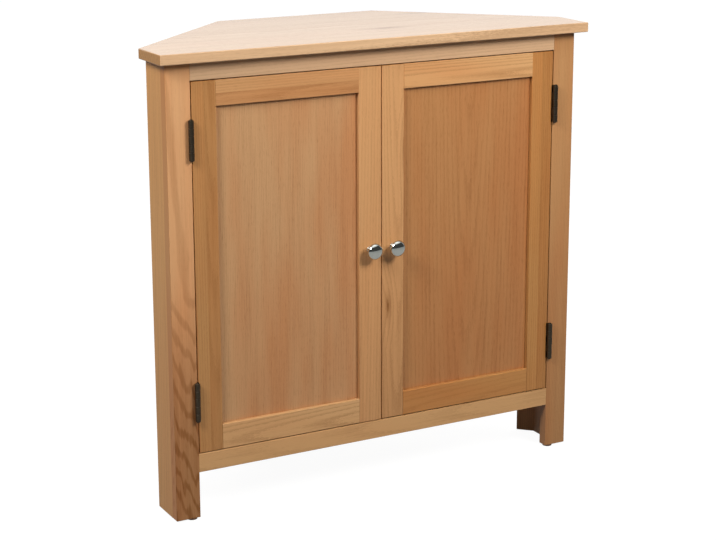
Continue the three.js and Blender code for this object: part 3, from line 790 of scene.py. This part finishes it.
def leaf(node, axis, face_x, inwards, front, first):
    """A leaf with its knuckles. Its face lies at face_x, and inwards points into the wood."""
    low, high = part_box(node)
    pitch = (high.z - low.z + KNUCKLE_GAP) / KNUCKLES
    xs = (face_x, face_x + inwards * LEAF_THICKNESS)
    bm = bmesh.new()
    block(bm, xs, (front, high.y), (low.z, high.z))
    for number in range(first, KNUCKLES, 2):
        start = low.z + number * pitch
        end = start + pitch - KNUCKLE_GAP
        ring(bm, axis, start, end)
        block(bm, xs, (axis.y + BORE_RADIUS + KNUCKLE_EASE, front + KNUCKLE_EASE),
              (start + KNUCKLE_EASE, end - KNUCKLE_EASE))
    tidy(bm)
    keep(bm, node, "_rolled", BRONZED)
    bm = bmesh.new()
    for share in SCREW_SHARES:
        where = (face_x, (front + high.y) / 2, low.z + share * (high.z - low.z))
        screw(bm, countersunk(radius=2.9, rise=0.3), depth=0.6, where=where,
              tilt=(0, -inwards * pi / 2, 0))
    tidy(bm)
    keep(bm, node, "_screws", BRONZED, takes_place=False)


# %% Butt hinges
PIN_STEPS = 32
PIN_HEAD = [(1.6, 0), (2.5, 0.35), (2.8, 0.9), (2.8, 1.4), (1.7, 1.4)]
for side, sign in SIDES.items():
    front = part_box(side + "_front_stile")[0].y
    opening = min(abs(corner.x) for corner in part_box(side + "_front_stile"))
    door_edge = max(abs(corner.x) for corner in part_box(side + "_door_hinge_stile"))
    for where in ("upper", "lower"):
        hinge = f"{side}_{where}_hinge_"
        low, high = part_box(hinge + "pin")
        axis, length = (low + high) / 2, (high.z - low.z) / MM
        leaf(hinge + "frame_leaf", axis, sign * opening, sign, front, 0)
        leaf(hinge + "door_leaf", axis, sign * door_edge, -sign, front, 1)
        tail = [(radius, length - height) for radius, height in reversed(PIN_HEAD)]
        turned_piece(hinge + "pin", [(0, 0), *PIN_HEAD, *tail, (0, length)], PIN_STEPS,
                     (axis.x, axis.y, low.z), BRONZED)
        print(hinge + "pin stands at", [round(value / MM, 2) for value in axis],
              "and is", round(length, 1), "mm long")

# %% [markdown]
# ## Backdrop
# The cupboard stands in a studio in front of white. The camera sees the world as white through
# Light Path, so no lamp has to be made brighter than the wood needs. Mirrors and gloss see a dark
# room with a white wall at the back and a white ceiling, which gives a chrome knob its bright arc
# above a dark band.

# %% Backdrop
scene.view_settings.view_transform = "Standard"
WHITE = (1, 1, 1, 1)
WORLD_LIGHT = 0.12
TO_THE_WALL = (0.5, 0.8, 0.3)
WALL = {"From Min": 0.3, "From Max": 0.8, "To Min": 0.06, "To Max": 1.05}
CEILING = {"From Min": 0.62, "From Max": 0.78}


def seen_directly(tree):
    """Two switches, one on for rays from the camera and one for rays from gloss and mirrors."""
    path = add(tree, "LightPath")
    mirrored = add(tree, "Math", {0: path.outputs["Is Glossy Ray"],
                                  1: path.outputs["Is Transmission Ray"]}, operation="MAXIMUM")
    return path.outputs["Is Camera Ray"], mirrored.outputs[0]


world = bpy.data.worlds.new("studio")
scene.world = world
tree = emptied_tree(world)
camera_ray, mirrored = seen_directly(tree)
direction = add(tree, "TexCoord")
backwards = add(tree, "VectorMath", {0: direction.outputs["Generated"], 1: TO_THE_WALL},
                operation="DOT_PRODUCT")
wall = add(tree, "MapRange", {"Value": backwards.outputs["Value"], **WALL},
           interpolation_type="SMOOTHSTEP")
upwards = add(tree, "SeparateXYZ", {0: direction.outputs["Generated"]})
ceiling = add(tree, "MapRange", {"Value": upwards.outputs[2], **CEILING},
              interpolation_type="SMOOTHSTEP")
around = add(tree, "Math", {0: wall.outputs[0], 1: ceiling.outputs[0]}, operation="MAXIMUM")
ambient = add(tree, "Mix", {0: mirrored, 2: WORLD_LIGHT, 3: around.outputs[0]})
strength = add(tree, "Mix", {0: camera_ray, 2: ambient.outputs[0], 3: 1.0})
sky = add(tree, "Background", {"Color": WHITE, "Strength": strength.outputs[0]})
add(tree, "OutputWorld", {"Surface": sky.outputs[0]})
print("world:", world.name, "with", len(tree.nodes), "nodes")

# %% [markdown]
# ## Floor
# The floor is matt white paper. It is white to the camera and pale grey to gloss, but darker to all
# other light, so that it throws less of it up at the cupboard. It glows a little more further away,
# so that it meets the white behind it without a line, and it keeps the cupboard's shadow.

# %% Floor
FLOOR_SIZE = 20
PAPER_UNSEEN, PAPER_SEEN = "6b6966", "e8e7e5"
PAPER_GLOW, GLOSS_SHARE = 0.85, 0.34
GLOW_OUTWARDS = {"From Min": 1.0, "From Max": 3.0, "To Min": 1.12, "To Max": 1.19}

bm = bmesh.new()
bmesh.ops.create_grid(bm, x_segments=1, y_segments=1, size=FLOOR_SIZE)
floor_mesh = bpy.data.meshes.new("studio_floor")
bm.to_mesh(floor_mesh)
bm.free()
floor = bpy.data.objects.new("studio_floor", floor_mesh)
scene.collection.objects.link(floor)
paper = bpy.data.materials.new("matt_white_paper")
tree = emptied_tree(paper)
camera_ray, mirrored = seen_directly(tree)
pale = add(tree, "Mix", {0: camera_ray, 6: linear(PAPER_UNSEEN), 7: linear(PAPER_SEEN)},
           data_type="RGBA")
lit = add(tree, "BsdfDiffuse", {"Color": pale.outputs[2]})
spot = add(tree, "TexCoord")
away = add(tree, "VectorMath", {0: spot.outputs["Object"]}, operation="LENGTH")
whiter = add(tree, "MapRange", {"Value": away.outputs["Value"], **GLOW_OUTWARDS})
glow = add(tree, "Emission", {"Color": WHITE, "Strength": whiter.outputs[0]})
to_gloss = add(tree, "Math", {0: mirrored, 1: GLOSS_SHARE * PAPER_GLOW}, operation="MULTIPLY")
share = add(tree, "Math", {0: camera_ray, 1: PAPER_GLOW, 2: to_gloss.outputs[0]},
            operation="MULTIPLY_ADD")
both = add(tree, "MixShader", {0: share.outputs[0], 1: lit.outputs[0], 2: glow.outputs[0]})
add(tree, "OutputMaterial", {"Surface": both.outputs[0]})
floor_mesh.materials.append(paper)
print("floor:", floor.name, "in", paper.name)

# %% [markdown]
# ## Lamps
# A large soft lamp at the upper right models the doors. One from the left front lights the side
# board and softens the knobs' shadows, a wide one overhead lights the top, and two more light the
# back and the right side. The lacquered top would mirror the low ones as a burnt-out patch in some
# views, so gloss doesn't see them.

# %% Lamps
LAMPS = {
    "key": ((0.6, -1.55, 1.6), (0, 0, 0.65), 0.75, 30.5),
    "overhead": ((0.1, -0.45, 2.1), (0, 0, 0.6), 1.2, 2.0),
    "fill": ((-1.75, -0.9, 1.95), (-0.3, 0, 0.7), 0.8, 35),
    "back": ((-0.9, 1.8, 1.5), (0, 0, 0.5), 1.2, 18),
    "side": ((2.3, 0.7, 1.0), (0.3, 0, 0.5), 1.2, 24),
}
HIDDEN_FROM_GLOSS = ("key", "back", "side")
for name, (where, target, size, watts) in LAMPS.items():
    lamp_data = bpy.data.lights.new(name, "AREA")
    lamp_data.shape = "DISK"
    lamp_data.size = size
    lamp_data.energy = watts
    lamp = bpy.data.objects.new(name, lamp_data)
    scene.collection.objects.link(lamp)
    lamp.location = where
    lamp.visible_glossy = name not in HIDDEN_FROM_GLOSS
    lamp.rotation_euler = (Vector(target) - Vector(where)).to_track_quat("-Z", "Y").to_euler()
print("lamps:", list(LAMPS))
